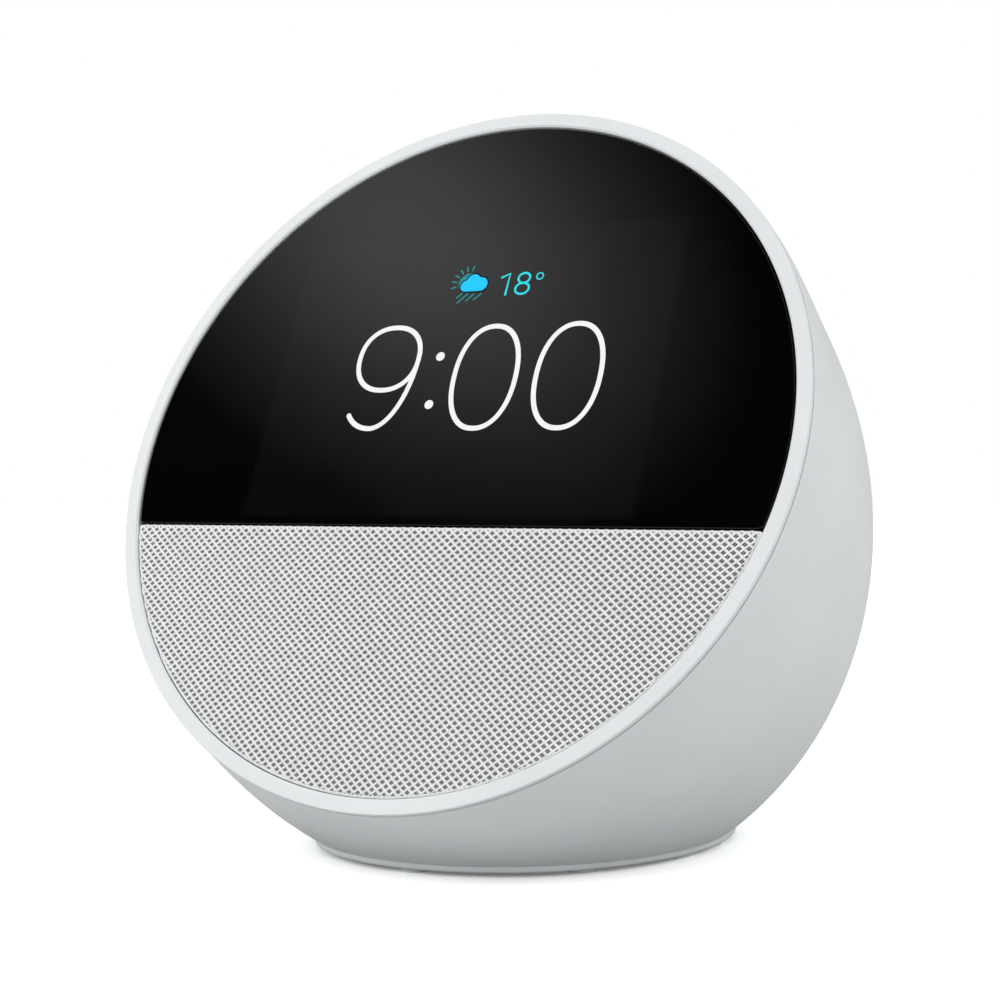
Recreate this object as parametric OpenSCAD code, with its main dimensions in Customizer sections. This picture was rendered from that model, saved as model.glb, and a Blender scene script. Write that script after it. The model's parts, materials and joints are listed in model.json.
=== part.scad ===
// Bedside smart display: a round, leaning face on a domed body, in millimetres.
// X runs left to right, the face looks towards -Y and a little up, Z is up.
// The origin is on the table, under the middle of the whole object.

/* [Face] */
// Radius of the ring round the face
face_r = 56.5; // [56.2:0.1:56.8]
// Lean of the face back from upright, in degrees
face_tilt = 24.4; // [24:0.1:24.8]
// Height of the middle of the face above the table
face_h = 61.6; // [61.2:0.1:62]
// Width of the ring's front land
ring_w = 2.3; // [2.1:0.1:2.5]
// Where the glass ends and the cloth begins, below the middle of the face
split_drop = 13.6; // [13.4:0.1:13.8]
// How far the glass and the cloth sit below the ring's land
face_sink = 0.3; // [0.2:0.1:0.4]

/* [Body] */
// How much more the body's axis leans than the face's axis, in degrees
body_lean = 10.6; // [10.2:0.1:11]
// Distance from the face back to the centre of the front sphere
nose = 3; // [2.6:0.1:3.4]
// Length of the straight waist behind that sphere
waist = 13.5; // [13:0.1:14]
// Radius of the long shoulder behind the waist
shoulder_r = 84; // [82:0.5:86]
// Length of the body's axis from the sphere's centre to the tail
tail = 86; // [85:0.5:87]
// Wall thickness of the rear shell
wall = 2.2; // [2:0.1:2.4]

/* [Base] */
// Distance of the base's middle behind the middle of the face
base_back = 26.6; // [26.4:0.1:26.8]
// Height at which the shell stands on the base plate
base_top = 1.6; // [1.5:0.1:1.8]
// Half width of the base plate
base_rx = 31.4; // [31:0.1:31.6]
// Half depth of the base plate
base_ry = 37.7; // [37.4:0.1:38]
// Height of the foot pads
pad_h = 0.6; // [0.5:0.1:0.8]

/* [Screen] */
// Width of the lit area
screen_w = 66; // [62:1:66]
// Height of the lit area
screen_h = 48; // [44:1:48]
// Height of the lit area's middle above the middle of the face
screen_y = 12; // [11.8:0.1:12.2]

/* [Speaker] */
// Distance of the driver's axis below the middle of the face
driver_drop = 33.2; // [33:0.1:33.4]
// Radius of the driver's flange
driver_r = 20; // [19.6:0.1:20.2]

/* [Buttons] */
// Radius of a button's cap
button_r = 4.5; // [4:0.1:4.6]
// Angle between neighbouring buttons round the body, in degrees
button_step = 16.5; // [15:0.5:17]
// Distance of the buttons behind the centre of the front sphere
button_back = 7.5; // [7:0.1:8]

/* [Power] */
// Height of the power socket's axis above the table
jack_h = 15; // [14.8:0.1:15.4]
// Radius of the power socket's bore
jack_bore_r = 2.75; // [2.5:0.05:2.8]

/* [Hidden] */
$fn = 96;

// Colours
pale = [0.87, 0.89, 0.90];
black_glass = [0.02, 0.02, 0.02];
frame_grey = [0.25, 0.26, 0.27];
board_green = [0.05, 0.25, 0.15];
steel = [0.62, 0.63, 0.65];
dark_rubber = [0.12, 0.12, 0.12];
copper = [0.72, 0.45, 0.25];

// Reach of the cutting blocks, larger than the whole object
far = 160;
// Depths below the ring's land
ring_lip = 0.6;
seam = 0.35;
shell_front = ring_lip + seam;
rebate_depth = 6.2;
rebate_r = face_r - 1.2;
ring_in = face_r - ring_w;
fit_gap = 0.15;
glass_t = 1.1;
glass_back = face_sink + glass_t;
bond_t = 0.2;
frame_front = glass_back + bond_t;
frame_back = rebate_depth;
glass_r = ring_in - 0.35;
half_split = 0.15;

// The two arcs of the body's outline and where they meet
nose_r = sqrt(face_r * face_r + nose * nose);
shoulder_c = nose_r - shoulder_r;
run = tail - waist;
tail_r = (run * run + shoulder_c * shoulder_c - shoulder_r * shoulder_r) / (2 * (run - shoulder_r));
tail_c = tail - tail_r;
join_a = atan2(tail_c - waist, -shoulder_c);

// Reach of the ring and of the tail, which sets the face so that the whole object is centred
ring_edge = 0.4;
front_reach = (face_r - ring_edge) * sin(face_tilt) + ring_edge * (1 - cos(face_tilt));
rear_reach = nose * cos(face_tilt) + tail_c * cos(face_tilt + body_lean) + tail_r;
face_y = (front_reach - rear_reach) / 2;
base_y = face_y + base_back;

// Base plate outline: two end arcs and two side arcs that meet smoothly
end_r = 28.8;
end_c = base_ry - end_r;
side_r = (end_c * end_c + base_rx * base_rx - end_r * end_r) / (2 * (base_rx - end_r));
side_c = side_r - base_rx;
plate_bottom = pad_h;
plate_step = base_top + 1;
step_in = 3.6;

// Layers of the display, from the glass backwards
panel_w = screen_w + 2.4;
panel_h = screen_h + 2.8;
panel_t = 1.2;
light_t = 2;
panel_front = frame_front;
light_front = panel_front + panel_t;
light_back = light_front + light_t;
bracket_t = 0.8;
bracket_back = frame_back + bracket_t;
pocket_gap = 0.3;

// Main board and its posts
board_front = 13;
board_t = 1.2;
board_back = board_front + board_t;
board_x = 34.5;
board_y0 = -9.5;
board_y1 = 36.3;
board_posts = [[-31, -6], [31, -6], [-31, 34], [31, 34]];
shield_h = 2.4;
pad_back = board_back + shield_h + 0.8;
spreader_t = 1.5;

// Screws: radius of the thread, of the head, and height of the head
m2 = [0.95, 1.7, 1];
m25 = [1.2, 2.2, 1.1];
thread_gap = 0.05;
face_screw_at = [[42.2, 21], [-42.2, 21], [46.7, 3], [-46.7, 3], [38, -30], [-38, -30]];
bracket_screw_at = [[-36.8, 0], [36.8, 0], [-36.8, 27], [36.8, 27]];
enclosure_screw_at = [[-25.5, -17.5], [25.5, -17.5], [-24.5, -43], [24.5, -43]];
base_screw_at = [[-24.5, -11.5], [24.5, -11.5], [-15, 18.5], [15, 18.5]];

// Driver, as radii from its axis and depths below the ring's land
flange_front = 7;
flange_back = 8.2;
surround_t = 0.35;
roll_r = 1.4;
roll_at = 15.5;
coil_r = 6;
basket_back = 18.4;
plate_back = 21.4;
magnet_back = 25.9;
yoke_back = 28.1;
magnet_r = 14;
enclosure_x = 22.5;
enclosure_back = 31;
enclosure_floor = 4.5;
enclosure_wall = 1.4;

// Buttons, as heights above the shell's outer surface
button_gap = 0.3;
button_proud = 0.25;
flange_top = -wall - 0.6;
flange_low = flange_top - 0.8;
stem_low = -4.6;
switch_top = -5.6;
switch_low = -7.6;
button_board_t = 0.4;
carrier_t = 1.4;
carrier_half = 36.5;
carrier_post = 33.5;
microphone_at = 46;

// Power socket
well_floor = 44.5;
well_r = 5.8;
well_wall = 1.4;
jack_nose_r = 4;
jack_half = 4.5;
jack_inner = 34.5;
jack_pin_r = 1;
power_board_top = jack_h - jack_half - 0.1;
power_board_t = 1.2;
power_post_at = [[-6.5, 28.5], [6.5, 28.5]];
// The supply lead, clipped inside the body from the socket to the main board
lead_r = 1.1;
lead_path = [[-6.8, 33, 11.6], [-6.8, 33, 24], [-14, 0, 40], [-20, -12.6, 48.6]];

// ---- places ----

// Face frame: +Y up the face, +Z out of it, `depth` below the ring's land
module at_face(depth = 0) {
    translate([0, face_y, face_h]) rotate([90 - face_tilt, 0, 0]) translate([0, 0, -depth]) children();
}

// Base frame: the middle of the base plate, on the table
module at_base() {
    translate([0, base_y, 0]) children();
}

// Body frame: +Z back along the body's axis from the centre of the front sphere, -Y up
module at_body() {
    at_face(nose) rotate([180 - body_lean, 0, 0]) children();
}

// On the waist, at an angle from straight up: +Z is outwards, height 0 is the shell's surface
module on_waist(angle, back = button_back) {
    at_body() rotate([0, 0, angle - 90]) translate([nose_r, 0, back]) rotate([0, 90, 0]) children();
}

// ---- shared shapes ----

// Half outline of the body, pulled in by `inset`
module body_outline(inset) {
    join_z = waist + (shoulder_r - inset) * sin(join_a);
    intersection() {
        circle(nose_r - inset);
        translate([0, -nose_r]) square([nose_r, nose_r]);
    }
    square([nose_r - inset, waist]);
    intersection() {
        translate([shoulder_c, waist]) circle(shoulder_r - inset, $fn = 192);
        translate([0, waist]) square([nose_r, join_z - waist]);
    }
    intersection() {
        translate([0, tail_c]) circle(tail_r - inset);
        translate([0, join_z]) square([nose_r, tail]);
    }
}

// Domed body, pulled in by `inset`, behind a depth of the face and above a height
module body_solid(inset, depth, floor_z) {
    difference() {
        at_body() rotate([0, 0, 90]) rotate_extrude() body_outline(inset);
        at_face(depth) translate([-far / 2, -far / 2, 0]) cube([far, far, far / 2]);
        translate([-far / 2, -far / 2, floor_z - far]) cube([far, far, far]);
    }
}

// Base plate outline, pulled in by `inset`
module base_outline(inset) {
    tangent_y = side_r / (side_r - end_r) * end_c;
    intersection() {
        translate([-side_c, 0]) circle(side_r - inset, $fn = 144);
        translate([side_c, 0]) circle(side_r - inset, $fn = 144);
        translate([-base_rx, -tangent_y]) square([2 * base_rx, 2 * tangent_y]);
    }
    for (s = [-1, 1]) translate([0, s * end_c]) circle(end_r - inset);
}

// Round face piece of radius r, above or below the height y0
module above(r, y0) {
    intersection() {
        circle(r);
        translate([-r, y0]) square([2 * r, 2 * r]);
    }
}

module below(r, y0) {
    intersection() {
        circle(r);
        translate([-r, y0 - 2 * r]) square([2 * r, 2 * r]);
    }
}

// Slab of a 2D shape from one depth of the face to a deeper one
module layer(front, back) {
    at_face(back) linear_extrude(back - front) children();
}

module centred(w, h, y = 0) {
    translate([-w / 2, y - h / 2]) square([w, h]);
}

// Screw with its head's underside at z = 0 and its thread along -Z
module screw(size, length) {
    translate([0, 0, -length]) cylinder(r = size[0], h = length + 0.1);
    difference() {
        cylinder(r = size[1], h = size[2]);
        translate([0, 0, size[2] - 0.5]) cylinder(r = size[0] * 0.9, h = 1, $fn = 6);
    }
}

module thread_hole(size, length) {
    translate([0, 0, -length]) cylinder(r = size[0] + thread_gap, h = length + 1);
}

// Round bar with round ends from point a to point b
module bar(a, b, r) {
    hull() for (p = [a, b]) translate(p) sphere(r, $fn = 16);
}

// Ring about the driver's axis, from one depth to a deeper one
module driver_ring(r_out, r_in, front, back) {
    at_face(back) translate([0, -driver_drop]) difference() {
        cylinder(r = r_out, h = back - front);
        translate([0, 0, -1]) cylinder(r = r_in, h = back - front + 2);
    }
}

module at_driver() {
    at_face() translate([0, -driver_drop]) children();
}

// ---- face ----

module front_ring() {
    edge = ring_edge;
    chamfer = 0.25;
    color(pale) at_face() rotate_extrude() {
        difference() {
            union() {
                translate([ring_in, -ring_lip]) square([ring_w - edge, ring_lip]);
                translate([ring_in, -ring_lip]) square([ring_w, ring_lip - edge]);
                translate([face_r - edge, -edge]) circle(edge);
            }
            polygon([[ring_in - 1, 1], [ring_in + chamfer + 1, 1], [ring_in - 1, -chamfer - 1]]);
        }
        translate([ring_in, -shell_front]) square([1.5, seam + 0.1]);
        translate([ring_in, -5]) square([rebate_r - fit_gap - ring_in, 5 - seam]);
    }
}

module cover_glass() {
    color(black_glass) layer(face_sink, glass_back) above(glass_r, half_split - split_drop);
}

module grille_cloth() {
    color(pale) layer(face_sink, face_sink + 0.5) below(glass_r, -split_drop - half_split);
}

module grille_frame() {
    hole_r = 1.5;
    pitch = 4.6;
    row = pitch * sin(60);
    color(frame_grey) layer(face_sink + 0.5, frame_front) difference() {
        below(glass_r - 0.2, -split_drop - half_split);
        for (j = [0:7], i = [-12:12]) {
            x = (i + (j % 2) / 2) * pitch;
            y = -split_drop - 4 - j * row;
            if (norm([x, y]) < glass_r - 3.5) translate([x, y]) circle(hole_r, $fn = 24);
        }
    }
}

module face_frame() {
    post = 2.1;
    color(frame_grey) difference() {
        union() {
            layer(frame_front, 5.1) circle(ring_in - fit_gap);
            layer(5.05, frame_back) circle(rebate_r - fit_gap);
            for (p = enclosure_screw_at) layer(frame_back - 0.1, flange_back) translate(p) circle(2.6);
        }
        layer(0, far) centred(panel_w + 2 * pocket_gap, panel_h + 2 * pocket_gap, screen_y);
        layer(0, far) translate([0, -driver_drop]) circle(driver_r - 1.7);
        for (p = face_screw_at) {
            layer(0, far) translate(p) circle(m25[0] + thread_gap);
            layer(0, frame_front + 1.3) translate(p) circle(m25[1] + 0.2);
        }
        for (p = bracket_screw_at)
            layer(frame_back - 3, frame_back + 1) translate(p) circle(m2[0] + thread_gap);
        for (p = enclosure_screw_at)
            layer(frame_back - post, flange_back + 1) translate(p) circle(m2[0] + thread_gap);
    }
}

module face_screws() {
    color(steel) for (p = face_screw_at) at_face(frame_front + 1.3) translate(p) screw(m25, 9);
}

module glass_adhesive() {
    strip = 1.8;
    color(dark_rubber) layer(glass_back, frame_front) difference() {
        above(glass_r - 0.2, 0.3 - split_drop);
        above(glass_r - 0.2 - strip, 0.3 - split_drop + strip);
        centred(panel_w + 1, panel_h + 1, screen_y);
    }
}

// ---- display ----

module optical_adhesive() {
    color([0.9, 0.92, 0.95, 0.4]) layer(glass_back, frame_front) centred(screen_w + 0.4, screen_h + 0.4, screen_y);
}

module display_panel() {
    color(black_glass) layer(panel_front, light_front) centred(panel_w, panel_h, screen_y);
}

module display_backlight() {
    color([0.85, 0.86, 0.87]) layer(light_front, light_back) centred(panel_w - 0.4, panel_h - 0.4, screen_y);
}

module display_foam() {
    color(dark_rubber) for (s = [-1, 1]) layer(light_back, frame_back)
        translate([s * (screen_w / 2 - 4), 0]) centred(4, screen_h - 8, screen_y);
}

module display_bracket() {
    slot_y = 36.6;
    color(steel) difference() {
        union() {
            layer(frame_back, bracket_back) intersection() {
                circle(ring_in - 1.2);
                centred(77.6, 53.5, 14.5);
            }
            for (p = board_posts) layer(bracket_back - 0.1, board_front) translate(p) circle(2.3);
        }
        layer(0, far) centred(20, 2.6, slot_y);
        for (x = [-15, 15]) layer(0, far) translate([x, 0]) centred(18, 20, 10);
        for (p = bracket_screw_at) layer(0, far) translate(p) circle(m2[0] + 0.15);
        for (p = board_posts) layer(board_front - 4.5, far) translate(p) circle(m2[0] + thread_gap);
    }
}

module bracket_screws() {
    color(steel) for (p = bracket_screw_at)
        at_face(bracket_back) translate(p) mirror([0, 0, 1]) screw(m2, 3.2);
}

module display_ribbon() {
    w = 16;
    t = 0.2;
    bend_y = 36.5;
    color(copper) at_face() translate([-w / 2, 0, 0]) rotate([90, 0, 90]) linear_extrude(w) {
        translate([26, -light_back - t]) square([bend_y - 26 + t, t]);
        translate([bend_y, -12.4]) square([t, 12.4 - light_back]);
        translate([35, -12.4 - t]) square([bend_y - 35 + t, t]);
    }
}

// ---- body ----

module shell_boss(p, r, front, back) {
    a = atan2(p[1], p[0]);
    at_face(back) {
        translate(p) cylinder(r = r, h = back - front);
        translate(p) rotate([0, 0, a]) translate([0, -0.9, 0]) cube([20, 1.8, back - front]);
    }
}

module base_boss(p) {
    top = 13;
    translate([p[0], p[1], plate_step]) cylinder(r = 2.8, h = top - plate_step);
    translate([p[0], p[1], plate_step + 1]) rotate([0, 0, atan2(p[1], p[0])])
        translate([0, -0.9, 0]) cube([30, 1.8, top - plate_step - 1]);
}

module jack_axis(y) {
    translate([0, base_y + y, jack_h]) rotate([-90, 0, 0]) children();
}

module rear_shell() {
    color(pale) difference() {
        union() {
            difference() {
                body_solid(0, shell_front, base_top);
                body_solid(wall, -far / 4, -far / 4);
            }
            intersection() {
                body_solid(wall / 2, frame_back, base_top);
                union() {
                    for (p = face_screw_at) shell_boss(p, 2.9, frame_back, 16);
                    at_base() for (p = base_screw_at) base_boss(p);
                    jack_axis(well_floor - well_wall) cylinder(r = well_r + well_wall, h = 20);
                    for (s = [-1, 1]) on_waist(s * carrier_post)
                        translate([0, 0, switch_low - button_board_t]) cylinder(r = 2.4, h = 7);
                }
            }
        }
        at_face(rebate_depth) cylinder(r = rebate_r, h = far);
        for (p = face_screw_at) at_face(frame_back) translate(p) thread_hole(m25, 8.5);
        at_base() for (p = base_screw_at)
            translate([p[0], p[1], 0]) cylinder(r = m25[0] + thread_gap, h = 11);
        jack_axis(well_floor) cylinder(r = well_r, h = 20);
        jack_axis(0) cylinder(r = jack_nose_r + 0.2, h = 60);
        for (k = [-1:1]) on_waist(k * button_step)
            translate([0, 0, -6]) cylinder(r = button_r + button_gap, h = 9);
        for (s = [-1, 1]) {
            on_waist(s * carrier_post) translate([0, 0, -9]) cylinder(r = m2[0] + thread_gap, h = 5);
            on_waist(s * microphone_at) translate([0, 0, -6]) cylinder(r = 0.6, h = 9, $fn = 24);
        }
    }
}

module base_plate() {
    color(pale) difference() {
        union() {
            at_base() translate([0, 0, plate_bottom])
                linear_extrude(base_top - plate_bottom) base_outline(fit_gap);
            intersection() {
                at_base() translate([0, 0, base_top - 0.1])
                    linear_extrude(plate_step - base_top + 0.1) base_outline(step_in);
                body_solid(wall + fit_gap, -far / 4, 0);
            }
            at_base() for (p = power_post_at)
                translate([p[0], p[1], base_top]) cylinder(r = 2.6, h = power_board_top - power_board_t - base_top);
        }
        at_base() for (p = base_screw_at) translate([p[0], p[1], 0]) {
            cylinder(r = m25[0] + 0.15, h = 4);
            translate([0, 0, -1]) cylinder(r = m25[1] + 0.3, h = base_top + 1);
        }
        at_base() for (p = power_post_at)
            translate([p[0], p[1], 4]) cylinder(r = m2[0] + thread_gap, h = 8);
    }
}

module base_screws() {
    color(steel) at_base() for (p = base_screw_at)
        translate([p[0], p[1], base_top]) mirror([0, 0, 1]) screw([m25[0], m25[1], 0.8], 8.6);
}

// Pads under the rim, in mirrored pairs counted from the front
module foot_pads() {
    pad_angles = [0, 42, 78, 102, 138, 180, 222, 258, 282, 318];
    color(dark_rubber) at_base() for (a = pad_angles) {
        edge = 1 / norm([sin(a) / base_rx, cos(a) / base_ry]);
        rotate([0, 0, a - 90]) translate([edge - 3.4, 0, 0]) cylinder(r = 2.4, h = pad_h);
    }
}

// ---- speaker ----

module speaker_gasket() {
    color(dark_rubber) driver_ring(driver_r, driver_r - 1.4, frame_back, flange_front);
}

module speaker_basket() {
    color(frame_grey) at_driver() difference() {
        rotate_extrude() {
            polygon([[driver_r - 2.4, -flange_front], [driver_r, -flange_front], [driver_r, -flange_back],
                [18.3, -flange_back], [magnet_r + 0.2, -17.4], [magnet_r + 0.2, -basket_back],
                [9, -basket_back], [9, -17.4], [13.2, -17.4], [14.1, -15.8], [12.8, -15.8],
                [12.8, -15], [14.3, -15], [driver_r - 2.6, -flange_back]]);
        }
        for (a = [45:90:315]) rotate([0, 0, a]) translate([11, -4.5, -14.2]) cube([12, 9, 4.6]);
    }
}

module speaker_surround() {
    flat_top = flange_front - surround_t;
    color(dark_rubber) at_driver() rotate_extrude() {
        translate([roll_at + roll_r - surround_t, -flange_front]) square([18.4 - roll_at - roll_r + surround_t, surround_t]);
        translate([13.2, -flange_front]) square([roll_at - roll_r + surround_t - 13.2, surround_t]);
        translate([roll_at, -flange_front]) intersection() {
            difference() {
                circle(roll_r);
                circle(roll_r - surround_t);
            }
            translate([-roll_r, 0]) square([2 * roll_r, roll_r]);
        }
    }
}

module speaker_cone() {
    color([0.1, 0.1, 0.11]) at_driver() rotate_extrude()
        polygon([[13.9, -flange_front], [13.9, -7.4], [coil_r + 0.5, -12.6], [coil_r, -12.6],
            [coil_r, -12.2], [13.2, -flange_front]]);
}

module speaker_dust_cap() {
    cap_r = 9;
    rim_r = 6.2;
    rim_depth = 11.9;
    centre = rim_depth + sqrt(cap_r * cap_r - rim_r * rim_r);
    color([0.1, 0.1, 0.11]) at_driver() intersection() {
        translate([0, 0, -centre]) difference() {
            sphere(cap_r);
            sphere(cap_r - 0.4);
        }
        translate([0, 0, -rim_depth]) cylinder(r = rim_r + 1, h = 5);
    }
}

module speaker_voice_coil() {
    color(copper) {
        driver_ring(coil_r + 0.25, coil_r, 12.6, 22.4);
        driver_ring(coil_r + 0.75, coil_r + 0.2, 17.8, 22);
    }
}

module speaker_spider() {
    t = 0.35;
    color([0.75, 0.6, 0.3]) at_driver() rotate_extrude() {
        translate([coil_r + 0.3, -15]) square([1, t]);
        translate([12.2, -15]) square([1.8, t]);
        for (r = [7.9, 9.7, 11.5]) translate([r, -15 + t / 2]) intersection() {
            difference() {
                circle(0.9 + t / 4);
                circle(0.9 - t / 2);
            }
            translate([-2, 0]) square([4, 2]);
        }
        translate([coil_r + 0.3, -15]) square([6.2, t / 2 + 0.05]);
    }
}

module speaker_top_plate() {
    color(steel) driver_ring(magnet_r, coil_r + 1.2, basket_back, plate_back);
}

module speaker_magnet() {
    color(frame_grey) driver_ring(magnet_r, 8.6, plate_back, magnet_back);
}

module speaker_yoke() {
    color(steel) {
        at_driver() translate([0, 0, -yoke_back]) cylinder(r = magnet_r - 0.4, h = yoke_back - magnet_back);
        at_driver() translate([0, 0, -magnet_back - 0.1]) cylinder(r = coil_r - 0.4, h = magnet_back - basket_back);
    }
}

module enclosure_block(inset) {
    x = enclosure_x - inset;
    intersection() {
        body_solid(wall + 0.8 + inset, flange_back + inset, enclosure_floor + inset);
        at_face(enclosure_back - inset) translate([-x, -53.5 + inset, 0])
            cube([2 * x, 42 - 2 * inset, enclosure_back - flange_back - 2 * inset]);
    }
}

module speaker_enclosure() {
    color(frame_grey) difference() {
        union() {
            enclosure_block(0);
            for (p = enclosure_screw_at) layer(flange_back, flange_back + 2) {
                translate(p) circle(2.8);
                translate([p[0] > 0 ? p[0] - 4 : p[0], p[1] - 2.8]) square([4, 5.6]);
            }
        }
        enclosure_block(enclosure_wall);
        layer(0, flange_back + 3) translate([0, -driver_drop]) circle(18.6);
        for (p = enclosure_screw_at) layer(0, far) translate(p) circle(m2[0] + 0.15);
        at_face(12.2) translate([14, -8, 0]) rotate([90, 0, 0]) cylinder(r = 1, h = 7, $fn = 32);
    }
}

module enclosure_screws() {
    color(steel) for (p = enclosure_screw_at)
        at_face(flange_back + 2) translate(p) mirror([0, 0, 1]) screw(m2, 4);
}

module speaker_lead() {
    color(dark_rubber) at_face(12.2) {
        bar([14, -9.5 - 0.95, 0], [14, -17, 0], 0.9);
        bar([14, -17, 0], [11.4, -20.4, 0], 0.9);
    }
}

// ---- electronics ----

module main_board() {
    color(board_green) layer(board_front, board_back) difference() {
        translate([-board_x, board_y0]) square([2 * board_x, board_y1 - board_y0]);
        for (p = board_posts) translate(p) circle(m2[0] + 0.2);
        centred(30, 6, board_y1 + 1.2);
    }
}

module board_screws() {
    color(steel) for (p = board_posts)
        at_face(board_back) translate(p) mirror([0, 0, 1]) screw(m2, 5);
}

module board_connectors() {
    color([0.9, 0.9, 0.86]) {
        layer(11.6, board_front) centred(18, 3.4, 31.8);
        layer(11.2, board_front) translate([14, 0]) centred(6, 4, board_y0 + 2);
        layer(board_back, board_back + 2.6) translate([-20, 0]) centred(7, 4, board_y0 + 2.4);
        layer(board_back, board_back + 1.4) translate([24, 0]) centred(8, 3, 6);
    }
}

module processor() {
    color(black_glass) layer(board_back, board_back + 1.6) translate([-11, 0]) centred(14, 14, 20);
}

module radio_module() {
    color(black_glass) layer(board_back, board_back + 1.4) translate([17, 0]) centred(9, 9, 22);
}

// Pressed metal can over a chip, open towards the board
module shield_can(x, y, w, h) {
    t = 0.25;
    layer(board_back, board_back + shield_h) translate([x, 0]) difference() {
        centred(w, h, y);
        centred(w - 2 * t, h - 2 * t, y);
    }
    layer(board_back + shield_h - t, board_back + shield_h) translate([x, 0]) centred(w, h, y);
}

module processor_shield() {
    color(steel) shield_can(-11, 20, 24, 24);
}

module radio_shield() {
    color(steel) shield_can(17, 22, 18, 16);
}

module thermal_pad() {
    color([0.55, 0.65, 0.8]) layer(board_back + shield_h, pad_back) translate([-11, 0]) centred(16, 16, 20);
}

module heat_spreader() {
    color(steel) {
        layer(pad_back, pad_back + spreader_t) translate([-4, 0]) centred(50, 34, 17);
        for (p = [[-27, 2], [19, 2]]) layer(board_back, pad_back + 0.1) translate(p) circle(1.8);
    }
}

// Between the bosses of the upper face screws, above the widest part of the waist
module antennas() {
    span = 15;
    top_angle = 23;
    color(copper) for (s = [0, 1]) mirror([s, 0, 0]) at_body() rotate([0, 0, -top_angle])
        rotate_extrude(angle = span) translate([nose_r - wall - 0.6, 3]) square([0.5, 9]);
}

// ---- buttons ----

module button_cap(k) {
    intersection() {
        on_waist(k * button_step) translate([0, 0, flange_top - 0.1]) cylinder(r = button_r, h = 6);
        at_body() cylinder(r = nose_r + button_proud, h = waist + 2, $fn = 192);
    }
    on_waist(k * button_step) {
        translate([0, 0, flange_low]) cylinder(r = button_r + 1, h = flange_top - flange_low);
        translate([0, 0, stem_low]) cylinder(r = 1.6, h = flange_low - stem_low + 0.1);
    }
}

module button_actuator(k) {
    on_waist(k * button_step) translate([0, 0, stem_low - 1.6]) cylinder(r = 1.1, h = 1.6);
}

module volume_down_button() { color(pale) button_cap(-1); }
module microphone_mute_button() { color(pale) button_cap(0); }
module volume_up_button() { color(pale) button_cap(1); }
module volume_down_actuator() { color(black_glass) button_actuator(-1); }
module microphone_mute_actuator() { color(black_glass) button_actuator(0); }
module volume_up_actuator() { color(black_glass) button_actuator(1); }

module button_switches() {
    w = 4.8;
    color(steel) for (k = [-1:1]) on_waist(k * button_step) translate([0, 0, switch_low]) difference() {
        translate([-w / 2, -w / 2, 0]) cube([w, w, switch_top - switch_low]);
        translate([0, 0, 0.4]) cylinder(r = 1.2, h = 3);
    }
}

// Curved strip inside the waist between two radii, `half` degrees each side of straight up
module waist_strip(r_in, t, half, front, back) {
    at_body() rotate([0, 0, -90 - half]) rotate_extrude(angle = 2 * half)
        translate([r_in, front]) square([t, back - front]);
}

module button_board() {
    board_r = nose_r + switch_low - button_board_t;
    color(board_green) waist_strip(board_r, button_board_t, 27, 3, 12);
}

module button_carrier() {
    carrier_r = nose_r + switch_low - button_board_t - carrier_t;
    color(frame_grey) difference() {
        waist_strip(carrier_r, carrier_t, carrier_half, 2, 13);
        for (s = [-1, 1]) on_waist(s * carrier_post) translate([0, 0, -12]) cylinder(r = m2[0] + 0.15, h = 6);
    }
}

module carrier_screws() {
    under = switch_low - button_board_t - carrier_t - 0.05;
    color(steel) for (s = [-1, 1]) on_waist(s * carrier_post)
        translate([0, 0, under]) mirror([0, 0, 1]) screw(m2, 4);
}

module on_microphones(low) {
    for (s = [-1, 1]) on_waist(s * microphone_at) translate([0, 0, low]) children();
}

module microphone_gaskets() {
    color(dark_rubber) on_microphones(-3.4) difference() {
        cylinder(r = 2.2, h = 1);
        translate([0, 0, -1]) cylinder(r = 0.9, h = 3);
    }
}

module microphone_boards() {
    color(board_green) on_microphones(-4.2) difference() {
        translate([-3, -4, 0]) cube([6, 8, 0.8]);
        translate([0, 0, -1]) cylinder(r = 0.5, h = 3, $fn = 24);
    }
}

module microphones() {
    color(steel) on_microphones(-5.2) translate([-1.3, -1.8, 0]) cube([2.6, 3.6, 1]);
}

// ---- power ----

module power_jack() {
    color(black_glass) difference() {
        union() {
            at_base() translate([-jack_half, jack_inner - 3, jack_h - jack_half])
                cube([2 * jack_half, well_floor - well_wall - jack_inner + 2.9, 2 * jack_half]);
            jack_axis(well_floor - well_wall - 0.2) cylinder(r = jack_nose_r, h = well_wall + 0.2);
        }
        jack_axis(jack_inner) cylinder(r = jack_bore_r, h = 20);
        jack_axis(jack_inner - 1.5) cylinder(r = jack_pin_r, h = 3);
    }
}

module power_jack_pin() {
    color(steel) jack_axis(jack_inner - 1.5) cylinder(r = jack_pin_r, h = well_floor - jack_inner + 0.8);
}

module power_board() {
    color(board_green) at_base() translate([0, 0, power_board_top - power_board_t]) difference() {
        translate([-9.5, 25, 0]) cube([19, 15.5, power_board_t]);
        for (p = power_post_at) translate([p[0], p[1], -1]) cylinder(r = m2[0] + 0.15, h = 4);
    }
}

module power_board_screws() {
    color(steel) at_base() for (p = power_post_at)
        translate([p[0], p[1], power_board_top]) screw(m2, 5);
}

module power_lead() {
    color(dark_rubber) at_base() for (i = [0:2]) bar(lead_path[i], lead_path[i + 1], lead_r);
}

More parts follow.
